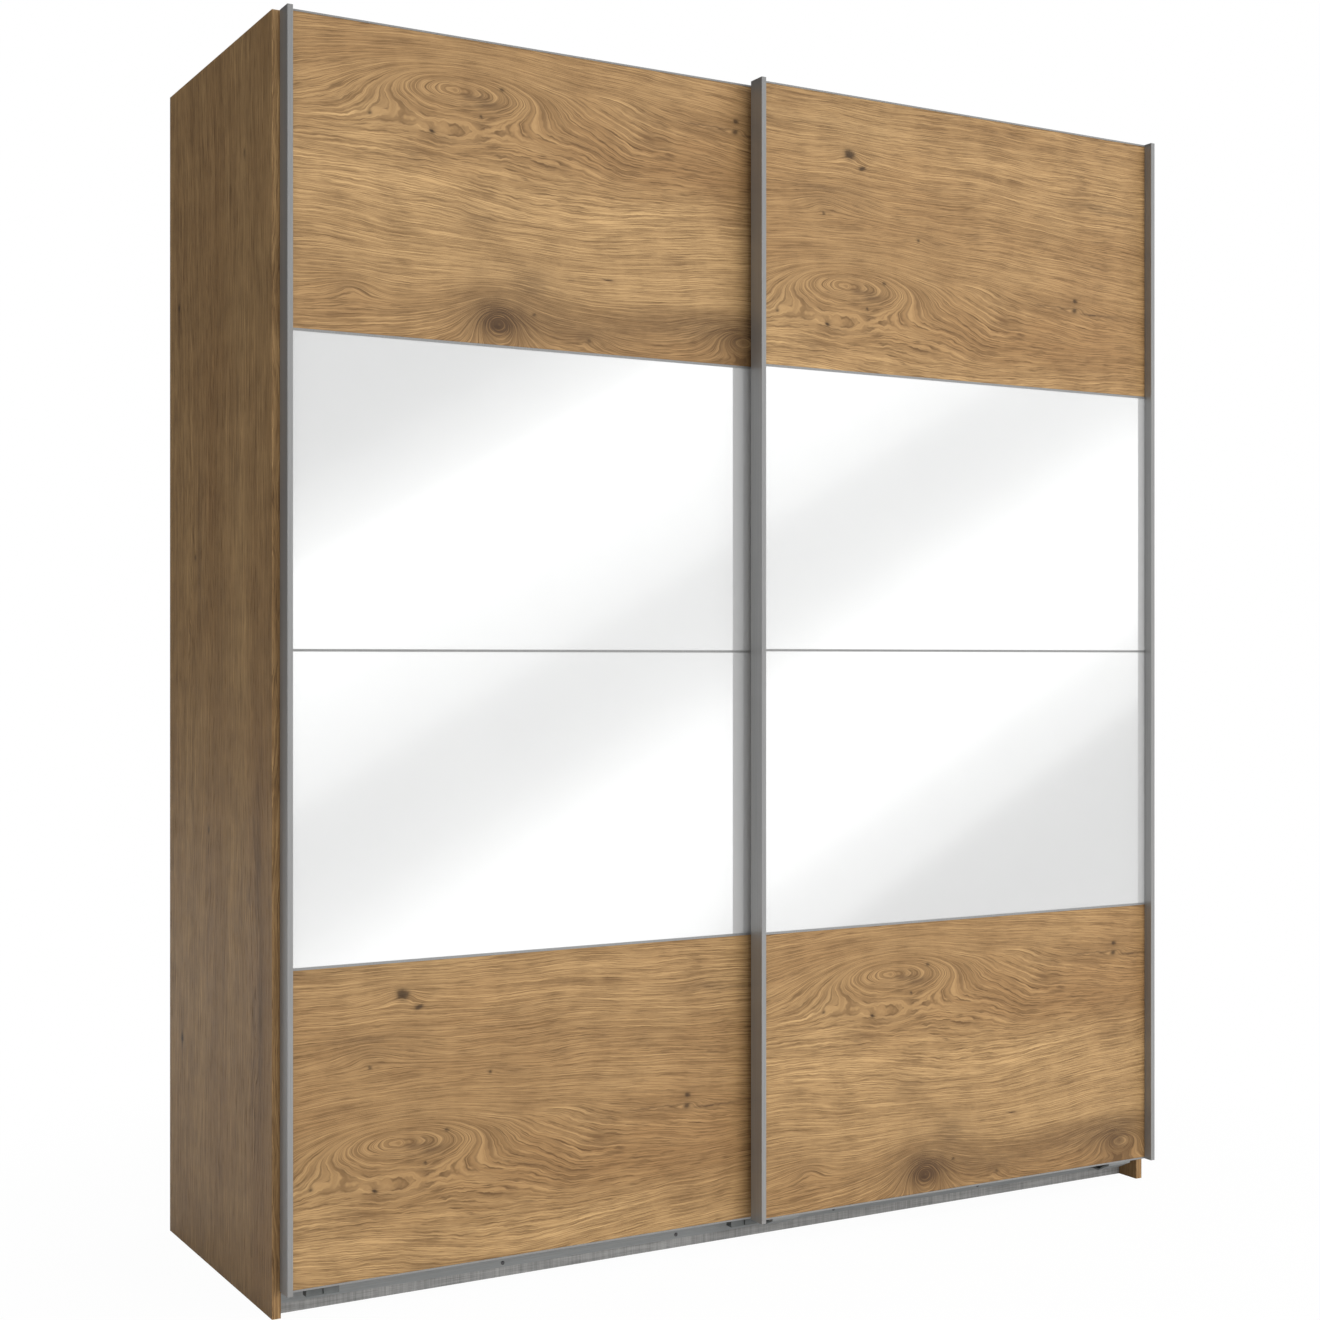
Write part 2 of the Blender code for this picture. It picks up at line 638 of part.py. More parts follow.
def add_carriage(door, parent, side_name, start):
    """A bent plate from the back of the door over to the wheel, with the wheel's axle."""
    plate_front = door.track + WHEEL_WIDTH / 2 + WHEEL_PLATE_GAP
    plate_rear = plate_front + PLATE
    low = HEIGHT - CARRIAGE_LEG
    top = door.flange + PLATE
    outline = [(door.back, low), (door.back + PLATE, low), (door.back + PLATE, door.flange)]
    outline += [(plate_front, door.flange), (plate_front, AXLE_Z - PLATE_BELOW_AXLE)]
    outline += [(plate_rear, AXLE_Z - PLATE_BELOW_AXLE), (plate_rear, top), (door.back, top)]
    name = f"{door.name}_carriage_{side_name}"
    end = start + CARRIAGE_LENGTH
    carriage = as_mesh(add_crosswise(name, [outline], start, end, STEEL, parent))
    axle_front = door.track - WHEEL_WIDTH / 2 - AXLE_TIP
    axle_rear = plate_front + PLATE / 2
    mesh = bpy.data.meshes.new(f"{name}_axle")
    bm = bmesh.new()
    bmesh.ops.create_cone(
        bm,
        cap_ends=True,
        segments=AXLE_STEPS,
        radius1=AXLE_RADIUS,
        radius2=AXLE_RADIUS,
        depth=axle_rear - axle_front,
    )
    bm.to_mesh(mesh)
    bm.free()
    middle = (start + end) / 2
    place = (middle, (axle_front + axle_rear) / 2, AXLE_Z)
    axle = add_helper(f"{name}_axle", mesh, place, (math.pi / 2, 0.0, 0.0))
    combine(carriage, axle, "UNION")
    add_wheel(door, parent, f"{door.name}_wheel_{side_name}", middle)


def inner_guide_outline(door):
    """A block on the inner door's back whose foot hooks round the front fin of the rail."""
    slot_front = INNER_FIN_Y - RUNNING
    slot_rear = INNER_FIN_Y + FIN + RUNNING
    floor = GUIDE_LOW + GUIDE_WALL
    outline = [(door.back, GUIDE_LOW), (slot_rear + GUIDE_WALL, GUIDE_LOW)]
    outline += [(slot_rear + GUIDE_WALL, GUIDE_HOOK_TOP), (slot_rear, GUIDE_HOOK_TOP)]
    outline += [(slot_rear, floor), (slot_front, floor), (slot_front, GUIDE_TOP)]
    return outline + [(door.back, GUIDE_TOP)]


def outer_guide_outline(door):
    """A plate from the outer door's back, under the inner door, to a hook behind the rear fin."""
    leg_rear = door.back + HOOK_WIDTH
    step_top = DOOR_FLOOR_GAP - RUNNING
    bend = door.back + DOOR_STEP
    floor = HOOK_LOW + HOOK_PLATE
    hook_front = OUTER_FIN_Y + FIN + RUNNING
    hook_rear = hook_front + HOOK_WIDTH
    outline = [(door.back, GUIDE_TOP), (door.back, step_top - HOOK_PLATE), (bend, HOOK_LOW)]
    outline += [(hook_rear, HOOK_LOW), (hook_rear, GUIDE_HOOK_TOP), (hook_front, GUIDE_HOOK_TOP)]
    return outline + [(hook_front, floor), (bend, floor), (leg_rear, step_top), (leg_rear, GUIDE_TOP)]


def add_guide(door, parent, side_name, start):
    inner = door.face == INNER_FACE_Y
    outline = inner_guide_outline(door) if inner else outer_guide_outline(door)
    material = DARK_PLASTIC if inner else STEEL
    name = f"{door.name}_guide_{side_name}"
    end = start + GUIDE_LENGTH
    guide = as_mesh(add_crosswise(name, [outline], start, end, material, parent))
    if inner:
        size = Vector((GUIDE_NOTCH, 2 * GUIDE_NOTCH, GUIDE_HOOK_TOP - GUIDE_LOW))
        place = ((start + end) / 2, door.back, GUIDE_LOW)
        notch = add_helper(f"{name}_notch", cube_mesh(f"{name}_notch", size), place)
        combine(guide, notch, "DIFFERENCE")


def add_door(door):
    """One door: an empty at its lower left corner, and every piece that moves with it."""
    frame = bpy.data.objects.new(door.name, None)
    frame.location = (door.left, door.face, door.bottom)
    WARDROBE.objects.link(frame)
    add_profiles(door, frame)
    add_edge_strips(door, frame)
    add_fields(door, frame)
    right_end = door.right - CARRIAGE_INSET - CARRIAGE_LENGTH
    add_carriage(door, frame, "left", door.left + CARRIAGE_INSET)
    add_carriage(door, frame, "right", right_end)
    add_guide(door, frame, "left", door.left + GUIDE_INSET)
    add_guide(door, frame, "right", door.right - GUIDE_INSET - GUIDE_LENGTH)


def main():
    wheel_top = AXLE_Z + WHEEL_RADIUS
    left_door = Door(
        name="left_door",
        left=LEFT_DOOR_INSET - WIDTH / 2,
        face=INNER_FACE_Y,
        bottom=DOOR_FLOOR_GAP,
        right_projection=OVERLAP_PROJECTION,
        track=INNER_TRACK_Y,
        flange=wheel_top + RUNNING,
    )
    right_door = Door(
        name="right_door",
        left=WIDTH / 2 - RIGHT_DOOR_INSET - DOOR_WIDTH,
        face=OUTER_FACE_Y,
        bottom=DOOR_FLOOR_GAP + OUTER_DOOR_LIFT,
        right_projection=GRIP_PROJECTION,
        track=OUTER_TRACK_Y,
        flange=HEIGHT + RUNNING,
    )
    add_carcass()
    add_running_rail()
    add_guide_rail()
    left_carriage = left_door.left + CARRIAGE_INSET
    right_carriage = right_door.right - CARRIAGE_INSET
    add_rail_stop("rail_stop_left", INNER_TRACK_Y, left_carriage - STOP_GAP - STOP_LENGTH)
    add_rail_stop("rail_stop_right", OUTER_TRACK_Y, right_carriage + STOP_GAP)
    add_door(left_door)
    add_door(right_door)


main()
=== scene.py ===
"""Looks for the sliding door wardrobe: oak decor, mirrors, aluminium, fittings, light and camera.

Metres, +Z up, doors facing -Y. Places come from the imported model's nodes.
"""

import json
import math

import bmesh
import bpy
from mathutils import Matrix, Vector


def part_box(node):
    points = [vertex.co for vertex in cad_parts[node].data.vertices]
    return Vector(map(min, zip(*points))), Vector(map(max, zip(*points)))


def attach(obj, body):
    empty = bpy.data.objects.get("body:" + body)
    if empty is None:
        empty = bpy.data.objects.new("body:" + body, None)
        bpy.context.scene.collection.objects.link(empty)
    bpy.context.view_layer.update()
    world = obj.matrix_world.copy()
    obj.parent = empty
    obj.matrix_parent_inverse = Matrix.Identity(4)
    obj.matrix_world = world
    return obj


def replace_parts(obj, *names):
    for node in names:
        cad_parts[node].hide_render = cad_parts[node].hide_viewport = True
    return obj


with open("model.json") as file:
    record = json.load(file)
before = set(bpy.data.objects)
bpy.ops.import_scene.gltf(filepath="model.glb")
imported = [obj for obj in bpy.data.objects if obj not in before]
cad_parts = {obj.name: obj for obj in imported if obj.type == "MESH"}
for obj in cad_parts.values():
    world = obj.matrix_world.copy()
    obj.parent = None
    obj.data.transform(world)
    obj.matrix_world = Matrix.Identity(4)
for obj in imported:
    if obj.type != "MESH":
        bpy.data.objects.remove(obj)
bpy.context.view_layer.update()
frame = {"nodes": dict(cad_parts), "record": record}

NODES = frame["nodes"]
DOORS = ("left_door", "right_door")
SIDES = ("left", "right")

# Camera
CAMERA_PLACE = (-1.9603, -3.3496, 1.0547)
CAMERA_TURN = math.radians(-29.619)
CAMERA_LENS = 54.59
CAMERA_SHIFT = 0.00115
CAMERA_SENSOR = 36.0


# Node helpers ---------------------------------------------------------------------------------


class Shader:
    """A material's node tree, with short calls for the nodes that the finishes use."""

    def __init__(self, name, tree=None):
        if tree is None:
            self.material = bpy.data.materials.new(name)
            self.material.use_nodes = True
            tree = self.material.node_tree
            tree.nodes.clear()
        self.tree = tree

    def add(self, kind, inputs=(), **settings):
        node = self.tree.nodes.new(kind)
        for key, value in settings.items():
            setattr(node, key, value)
        for socket, value in dict(inputs).items():
            self.feed(node.inputs[socket], value)
        return node

    def feed(self, socket, value):
        if isinstance(value, bpy.types.NodeSocket):
            self.tree.links.new(value, socket)
        else:
            socket.default_value = value

    def math(self, operation, *values, clamp=False):
        inputs = dict(enumerate(values))
        return self.add("ShaderNodeMath", inputs, operation=operation, use_clamp=clamp).outputs[0]

    def vector_math(self, operation, *values):
        inputs = dict(enumerate(values))
        node = self.add("ShaderNodeVectorMath", inputs, operation=operation)
        return node.outputs["Value" if operation in ("DOT_PRODUCT", "LENGTH") else "Vector"]

    def place(self):
        """The point in the piece's own frame, which is the object's frame at rest."""
        return self.add("ShaderNodeTexCoord").outputs["Object"]

    def along(self, point, direction):
        return self.vector_math("DOT_PRODUCT", point, direction)

    def combine(self, x=0.0, y=0.0, z=0.0):
        return self.add("ShaderNodeCombineXYZ", {0: x, 1: y, 2: z}).outputs[0]

    def noise(self, point, scale=1.0, detail=3.0, roughness=0.5):
        inputs = {"Vector": point, "Scale": scale, "Detail": detail, "Roughness": roughness}
        return self.add("ShaderNodeTexNoise", inputs).outputs["Fac"]

    def remap(self, value, low, high, new_low=0.0, new_high=1.0, smooth=False):
        interpolation = "SMOOTHSTEP" if smooth else "LINEAR"
        inputs = {
            "Value": value,
            "From Min": low,
            "From Max": high,
            "To Min": new_low,
            "To Max": new_high,
        }
        node = self.add("ShaderNodeMapRange", inputs, interpolation_type=interpolation)
        return node.outputs["Result"]

    def mix(self, share, first, second, blend="MIX"):
        node = self.add("ShaderNodeMix", data_type="RGBA", blend_type=blend)
        self.feed(node.inputs["Factor"], share)
        self.feed(node.inputs["A"], colour(first))
        self.feed(node.inputs["B"], colour(second))
        return node.outputs["Result"]

    def bump(self, height, strength, distance):
        inputs = {"Height": height, "Strength": strength, "Distance": distance}
        return self.add("ShaderNodeBump", inputs).outputs["Normal"]

    def finish(self, **inputs):
        """The Principled surface; names use _ for a space. Returns the material."""
        named = {key.replace("_", " "): colour(value) for key, value in inputs.items()}
        self.show(self.add("ShaderNodeBsdfPrincipled", named))
        return self.material

    def show(self, surface, output="ShaderNodeOutputMaterial"):
        self.add(output, {"Surface": surface.outputs[0]})


def colour(value):
    """A colour of three numbers with its alpha; anything else as it is."""
    return (*value, 1.0) if isinstance(value, tuple) and len(value) == 3 else value


# Oak ------------------------------------------------------------------------------------------

# Features of the printed decor, in metres: (along the grain, across it).
KNOTS = (  # place, radius, darkness
    ((0.303, -0.155), 0.0085, 0.85),
    ((0.333, -0.132), 0.0048, 0.8),
    ((0.145, 0.147), 0.0030, 0.7),
    ((0.255, 0.163), 0.0034, 0.9),
    ((0.343, 0.128), 0.0026, 0.7),
    ((0.382, 0.077), 0.0030, 0.6),
    ((0.846, 0.068), 0.0040, 0.8),
    ((0.845, 0.087), 0.0046, 0.8),
    ((0.460, -0.012), 0.0030, 0.7),
    ((0.245, -0.041), 0.0026, 0.6),
    ((0.442, 0.452), 0.0028, 0.6),
    ((0.547, 0.488), 0.0040, 0.5),
    ((0.372, 0.478), 0.0045, 0.35),
)
SHADES = (  # place, half length, half height, darkness: clouded grain, checks and cracks
    ((0.356, 0.105), 0.022, 0.007, 0.60),
    ((0.322, 0.096), 0.012, 0.003, 0.50),
    ((0.280, 0.175), 0.020, 0.010, 0.25),
    ((0.223, 0.206), 0.012, 0.014, 0.30),
    ((0.800, 0.084), 0.050, 0.0016, 0.75),
    ((0.905, 0.092), 0.050, 0.0018, 0.80),
    ((0.586, 0.379), 0.011, 0.0018, 0.80),
    ((0.513, 0.386), 0.008, 0.0014, 0.45),
    ((0.340, 0.295), 0.050, 0.018, 0.22),
    ((0.370, 0.460), 0.052, 0.034, 0.66),
    ((0.380, 0.470), 0.026, 0.022, 0.45),
    ((0.440, 0.400), 0.030, 0.030, 0.40),
    ((0.500, 0.470), 0.110, 0.020, 0.30),
    ((0.545, 0.482), 0.026, 0.012, 0.30),
    ((0.862, 0.460), 0.060, 0.032, 0.55),
    ((0.740, 0.448), 0.120, 0.016, 0.38),
    ((0.860, 0.425), 0.090, 0.010, 0.25),
    ((0.113, 0.430), 0.022, 0.015, 0.25),
    ((0.245, -0.086), 0.055, 0.0036, 0.40),
    ((0.250, -0.062), 0.050, 0.016, 0.16),
    ((0.587, -0.033), 0.022, 0.006, 0.22),
    ((0.890, -0.125), 0.055, 0.006, 0.38),
    ((0.950, -0.116), 0.050, 0.0030, 0.40),
    ((0.889, -0.004), 0.020, 0.0024, 0.45),
    ((0.180, -0.205), 0.200, 0.012, 0.22),
)
TINTS = (  # place, half length, half height, change: broad darker (+) and lighter (-) grain
    ((0.780, 0.170), 0.280, 0.065, 0.75),
    ((0.250, 0.050), 0.160, 0.070, 0.10),
    ((0.480, -0.030), 0.500, 0.030, 0.25),
    ((0.560, 0.310), 0.420, 0.075, -0.60),
    ((0.100, 0.245), 0.240, 0.050, -0.45),
    ((0.700, 0.385), 0.330, 0.040, -0.40),
    ((0.300, -0.200), 0.320, 0.035, -0.25),
    ((0.750, 0.490), 0.360, 0.045, 0.50),
    ((0.700, -0.160), 0.300, 0.030, 0.05),
)
FIGURES = (  # place, half length, half height, rise: what the growth rings bend around
    ((0.308, 0.078), 0.200, 0.055, 0.150),
    ((0.375, 0.463), 0.050, 0.040, 0.095),
    ((0.375, 0.470), 0.170, 0.055, 0.030),
    ((0.862, 0.458), 0.080, 0.036, 0.088),
    ((0.547, 0.482), 0.050, 0.018, 0.026),
    ((0.112, 0.432), 0.050, 0.022, 0.030),
    ((0.303, -0.153), 0.040, 0.016, 0.022),
    ((0.845, 0.080), 0.060, 0.014, 0.018),
    ((0.587, 0.062), 0.110, 0.022, 0.018),
    ((0.245, -0.062), 0.060, 0.024, 0.030),
    ((0.460, -0.012), 0.025, 0.010, 0.008),
    ((0.470, 0.300), 0.420, 0.130, -0.055),
)
SIDE_KNOTS = (
    ((0.370, 0.500), 0.0060, 0.8),
    ((0.760, 0.340), 0.0050, 0.6),
    ((1.240, 0.420), 0.0045, 0.6),
    ((1.700, 0.520), 0.0060, 0.8),
    ((1.900, 0.140), 0.0050, 0.5),
)
SIDE_SHADES = (
    ((0.450, 0.060), 0.130, 0.012, 0.55),
    ((0.720, 0.070), 0.060, 0.010, 0.45),
    ((0.370, 0.500), 0.030, 0.004, 0.60),
    ((1.240, 0.390), 0.090, 0.006, 0.40),
    ((1.700, 0.520), 0.040, 0.005, 0.50),
    ((1.420, 0.180), 0.160, 0.010, 0.25),
)
SIDE_TINTS = (
    ((0.500, 0.060), 0.500, 0.050, 0.60),
    ((1.500, 0.330), 0.600, 0.060, 0.50),
    ((1.100, 0.160), 0.700, 0.050, -0.50),
    ((0.600, 0.430), 0.600, 0.060, -0.40),
)
SIDE_FIGURES = (
    ((0.450, 0.060), 0.300, 0.045, 0.060),
    ((1.250, 0.420), 0.380, 0.040, 0.045),
    ((1.750, 0.300), 0.420, 0.060, 0.050),
    ((0.850, 0.300), 0.460, 0.045, 0.040),
)


def hill_group():
    """A node group: 1 / (1 + r ** sharpness), r being the distance from a centre in sizes."""
    tree = bpy.data.node_groups.new("hill", "ShaderNodeTree")
    interface = tree.interface
    for name in ("Point", "Centre", "Scale"):
        interface.new_socket(name, in_out="INPUT", socket_type="NodeSocketVector")
    interface.new_socket("Sharpness", in_out="INPUT", socket_type="NodeSocketFloat")
    interface.new_socket("Height", in_out="OUTPUT", socket_type="NodeSocketFloat")
    group = Shader("hill", tree)
    given = group.add("NodeGroupInput").outputs
    offset = group.vector_math("SUBTRACT", given["Point"], given["Centre"])
    spread = group.vector_math("MULTIPLY", offset, given["Scale"])
    radius = group.vector_math("LENGTH", spread)
    power = group.math("POWER", radius, given["Sharpness"])
    height = group.math("DIVIDE", 1.0, group.math("ADD", 1.0, power))
    output = group.add("NodeGroupOutput")
    tree.links.new(height, output.inputs["Height"])
    return tree


HILL = hill_group()


def hills(shader, point, features, sharpness):
    """The sum of hills of the given height, each a (place, half length, half height, rise)."""
    total = 0.0
    for place, half_length, half_height, rise in features:
        inputs = {
            "Point": point,
            "Centre": (*place, 0.0),
            "Scale": (1.0 / half_length, 1.0 / half_height, 0.0),
            "Sharpness": sharpness,
        }
        hill = shader.add("ShaderNodeGroup", node_tree=HILL)
        for socket, value in inputs.items():
            shader.feed(hill.inputs[socket], value)
        total = shader.math("MULTIPLY_ADD", hill.outputs[0], rise, total)
    return total


def oak(name, origin, grain, across, features):
    """Oak decor whose grain runs along one direction, drawn from features in the board's plane."""
    knots, shades, tints, figures = features
    shader = Shader(name)
    offset = shader.vector_math("SUBTRACT", shader.place(), origin)
    s = shader.along(offset, grain)
    t = shader.along(offset, across)
    flat = shader.combine(s, t)

    # The ring field: height across the grain, bent around knots and by slow noise
    sway = shader.noise(shader.combine(s, shader.math("MULTIPLY", t, 2.0)), 2.2, 2.0)
    ripple_point = shader.combine(shader.math("MULTIPLY", s, 0.6), shader.math("MULTIPLY", t, 1.6))
    ripple = shader.noise(ripple_point, 14.0, 2.0)
    field = shader.math("ADD", t, hills(shader, flat, figures, 2.0))
    field = shader.math("MULTIPLY_ADD", sway, 0.050, field)
    field = shader.math("MULTIPLY_ADD", ripple, 0.008, field)
    field = shader.math("MULTIPLY_ADD", shader.noise(flat, 48.0, 2.0), 0.0030, field)

    def streaks(along, over, detail, seed, roughness=0.6):
        point = shader.combine(
            shader.math("MULTIPLY", s, along), shader.math("MULTIPLY", field, over), seed
        )
        return shader.noise(point, 1.0, detail, roughness)

    def thin_lines(along, over, seed, width):
        """Thin dark lines where a stretched noise crosses its middle."""
        off_middle = shader.math("SUBTRACT", streaks(along, over, 2.0, seed), 0.5)
        off_line = shader.math("ABSOLUTE", off_middle)
        return shader.remap(off_line, 0.0, width, 1.0, 0.0)

    zones = shader.remap(streaks(0.5, 13.0, 2.0, 29.0), 0.30, 0.70, -0.5, 0.5)
    rings = shader.remap(streaks(1.2, 70.0, 5.0, 0.0, 0.68), 0.36, 0.64, smooth=True)
    bands = shader.remap(streaks(4.0, 270.0, 3.0, 3.0, 0.7), 0.34, 0.66)
    fibres = shader.remap(streaks(10.0, 520.0, 3.0, 5.0, 0.7), 0.36, 0.64)
    ring_lines = thin_lines(1.8, 165.0, 17.0, 0.070)
    grain_lines = thin_lines(6.0, 380.0, 19.0, 0.080)
    pores = shader.remap(streaks(18.0, 600.0, 2.0, 7.0), 0.54, 0.66, smooth=True)
    clouds = shader.remap(shader.noise(shader.combine(s, t, 5.0), 5.0, 3.0, 0.6), 0.3, 0.7)
    patches = shader.remap(shader.noise(shader.combine(s, t, 23.0), 17.0, 3.0, 0.6), 0.35, 0.65)

    light, golden = (0.580, 0.370, 0.166), (0.312, 0.184, 0.075)
    brown, red = (0.140, 0.072, 0.025), (0.335, 0.172, 0.064)
    line_brown, pore_brown = (0.120, 0.062, 0.024), (0.092, 0.048, 0.019)
    crack_brown, knot_brown = (0.085, 0.046, 0.021), (0.030, 0.016, 0.008)
    tint = hills(shader, flat, tints, 2.4)
    depth = shader.math("MULTIPLY_ADD", bands, 0.52, shader.math("MULTIPLY", rings, 0.34))
    depth = shader.math("MULTIPLY_ADD", zones, 0.34, depth)
    depth = shader.math("MULTIPLY_ADD", tint, 0.45, depth, clamp=True)
    paint = shader.mix(depth, light, golden)
    cloud_redness = shader.math("MULTIPLY", clouds, 0.28)
    redness = shader.math("MULTIPLY_ADD", tint, 0.38, cloud_redness, clamp=True)
    paint = shader.mix(redness, paint, red)
    paint = shader.mix(shader.math("MULTIPLY", fibres, 0.36), paint, brown)
    line_depth = shader.remap(patches, 0.0, 1.0, 0.26, 0.62)
    paint = shader.mix(shader.math("MULTIPLY", ring_lines, line_depth), paint, brown)
    paint = shader.mix(shader.math("MULTIPLY", grain_lines, line_depth), paint, line_brown)
    pore_depth = shader.math("MULTIPLY", pores, shader.remap(depth, 0.0, 1.0, 0.35, 0.80))
    paint = shader.mix(pore_depth, paint, pore_brown)

    # Clouded grain, cracks and knots, with edges broken up by noise
    wander = shader.combine(
        shader.math("MULTIPLY_ADD", shader.noise(flat, 60.0, 2.0), 0.012, -0.006),
        shader.math("MULTIPLY_ADD", shader.noise(flat, 75.0, 2.0), 0.006, -0.003),
    )
    bent = shader.vector_math("ADD", flat, wander)
    shade = hills(shader, bent, shades, 2.6)
    broken = shader.remap(streaks(22.0, 330.0, 3.0, 13.0), 0.32, 0.66, 0.30, 1.45)
    shade = shader.math("MULTIPLY", shade, broken, clamp=True)
    paint = shader.mix(shade, paint, crack_brown)
    knot_features = [(place, radius * 1.3, radius, dark) for place, radius, dark in knots]
    knot = shader.math("MULTIPLY", hills(shader, bent, knot_features, 4.0), 1.0, clamp=True)
    paint = shader.mix(knot, paint, knot_brown)

    relief = shader.math("MULTIPLY_ADD", pores, -1.5, fibres)
    relief = shader.math("MULTIPLY_ADD", grain_lines, -0.6, relief)
    relief = shader.math("MULTIPLY_ADD", knot, -2.0, relief)
    roughness = shader.remap(pores, 0.0, 1.0, 0.46, 0.62)
    normal = shader.bump(relief, 0.25, 0.0004)
    return shader.finish(
        Base_Color=paint, Roughness=roughness, Normal=normal, Specular_IOR_Level=0.25
    )


# Other finishes -------------------------------------------------------------------------------


def linen(name, upright):
    """Melamine face with a woven linen print: uneven threads both ways in the board's plane."""
    shader = Shader(name)
    point = shader.place()

    def threads(fine, coarse, detail):
        across = (fine, fine, coarse) if upright else (fine, coarse, coarse)
        along = (coarse, coarse, fine) if upright else (coarse, fine, coarse)
        return [
            shader.noise(shader.vector_math("MULTIPLY", point, scales), 1.0, detail)
            for scales in (across, along)
        ]

    warp, weft = threads(900.0, 14.0, 2.0)
    slubs, cross_slubs = threads(150.0, 9.0, 3.0)
    total = shader.math("ADD", warp, weft)
    total = shader.math("MULTIPLY_ADD", slubs, 0.9, total)
    total = shader.math("MULTIPLY_ADD", cross_slubs, 0.9, total)
    weave = shader.remap(total, 1.45, 2.35)
    paint = shader.mix(weave, (0.165, 0.165, 0.160), (0.350, 0.345, 0.335))
    normal = shader.bump(weave, 0.2, 0.0003)
    return shader.finish(Base_Color=paint, Roughness=0.52, Normal=normal)


def hardboard(name):
    shader = Shader(name)
    point = shader.place()
    mottle = shader.noise(point, 9.0, 4.0, 0.6)
    grit = shader.noise(point, 700.0, 2.0)
    paint = shader.mix(mottle, (0.42, 0.40, 0.37), (0.52, 0.50, 0.46))
    paint = shader.mix(shader.remap(grit, 0.45, 0.75, 0.0, 0.35), paint, (0.30, 0.28, 0.25))
    normal = shader.bump(grit, 0.25, 0.0003)
    return shader.finish(Base_Color=paint, Roughness=0.68, Normal=normal)


def metal(name, dark, light, roughness, grain, bump=0.05, metallic=1.0):
    """Drawn or anodised metal, whose fine lines run along the axis with the small grain scale."""
    shader = Shader(name)
    point = shader.place()
    lines = shader.noise(shader.vector_math("MULTIPLY", point, grain), 1.0, 3.0)
    patches = shader.noise(point, 6.0, 3.0, 0.6)
    paint = shader.mix(shader.remap(lines, 0.3, 0.7), dark, light)
    paint = shader.mix(shader.math("MULTIPLY", patches, 0.2), paint, dark)
    spread = shader.math("MULTIPLY_ADD", patches, 0.10, roughness - 0.05)
    normal = shader.bump(lines, bump, 0.0002)
    return shader.finish(Base_Color=paint, Metallic=metallic, Roughness=spread, Normal=normal)


def zinc(name):
    """Zinc-plated sheet with a faint crystalline bloom."""
    shader = Shader(name)
    point = shader.place()
    voronoi = shader.add("ShaderNodeTexVoronoi", {"Vector": point, "Scale": 320.0})
    cells = voronoi.outputs["Distance"]
    bloom = shader.noise(point, 40.0, 3.0)
    paint = shader.mix(bloom, (0.44, 0.46, 0.49), (0.62, 0.62, 0.60))
    spread = shader.math("MULTIPLY_ADD", cells, 0.12, 0.30)
    normal = shader.bump(cells, 0.06, 0.0002)
    return shader.finish(Base_Color=paint, Metallic=1.0, Roughness=spread, Normal=normal)


def plastic(name, dark, light, roughness=0.5):
    """Moulded plastic with a fine spark-eroded grain."""
    shader = Shader(name)
    point = shader.place()
    grain = shader.noise(point, 1400.0, 2.0)
    flow = shader.noise(point, 30.0, 3.0)
    paint = shader.mix(shader.remap(flow, 0.3, 0.7), dark, light)
    spread = shader.math("MULTIPLY_ADD", grain, 0.16, roughness - 0.08)
    normal = shader.bump(grain, 0.18, 0.0002)
    return shader.finish(Base_Color=paint, Roughness=spread, Normal=normal)


def mirror(name):
    """Silvered glass, made milky: about a third of the light is scattered, not mirrored."""
    shader = Shader(name)
    haze = shader.noise(shader.place(), 5.0, 4.0, 0.6)
    paint = shader.mix(haze, (0.940, 0.945, 0.945), (0.975, 0.980, 0.978))
    spread = shader.remap(haze, 0.4, 0.8, 0.008, 0.03)
    return shader.finish(Base_Color=paint, Metallic=0.66, Roughness=spread)


def build_finishes():
    aluminium = ((0.27, 0.27, 0.27), (0.34, 0.34, 0.335))
    anodised = {"roughness": 0.42, "grain": (1500.0, 1500.0, 6.0), "metallic": 0.55}
    drawn = {"roughness": 0.42, "grain": (6.0, 1500.0, 1500.0), "metallic": 0.6}
    screws = {"roughness": 0.34, "grain": (700.0, 700.0, 700.0), "metallic": 0.9}
    bright = {"roughness": 0.14, "grain": (4.0, 900.0, 900.0), "bump": 0.02}
    return {
        "linen_board": linen("linen_board", True),
        "linen_board_flat": linen("linen_board_flat", False),
        "hardboard": hardboard("hardboard"),
        "door_aluminium": metal("door_aluminium", *aluminium, **anodised),
        "rail_metal": metal("rail_metal", (0.25, 0.26, 0.26), (0.31, 0.32, 0.32), **drawn),
        "zinc_steel": zinc("zinc_steel"),
        "chrome_tube": metal("chrome_tube", (0.72, 0.73, 0.74), (0.80, 0.80, 0.81), **bright),
        "mirror": mirror("mirror"),
        "dark_plastic": plastic("dark_plastic", (0.085, 0.092, 0.092), (0.130, 0.140, 0.138)),
        "light_plastic": plastic("light_plastic", (0.60, 0.60, 0.58), (0.70, 0.70, 0.68), 0.42),
        "screw_steel": metal("screw_steel", (0.11, 0.11, 0.115), (0.19, 0.19, 0.195), **screws),
        "rubber_stop": plastic("rubber_stop", (0.022, 0.022, 0.022), (0.036, 0.036, 0.036), 0.8),
    }


FINISHES = build_finishes()


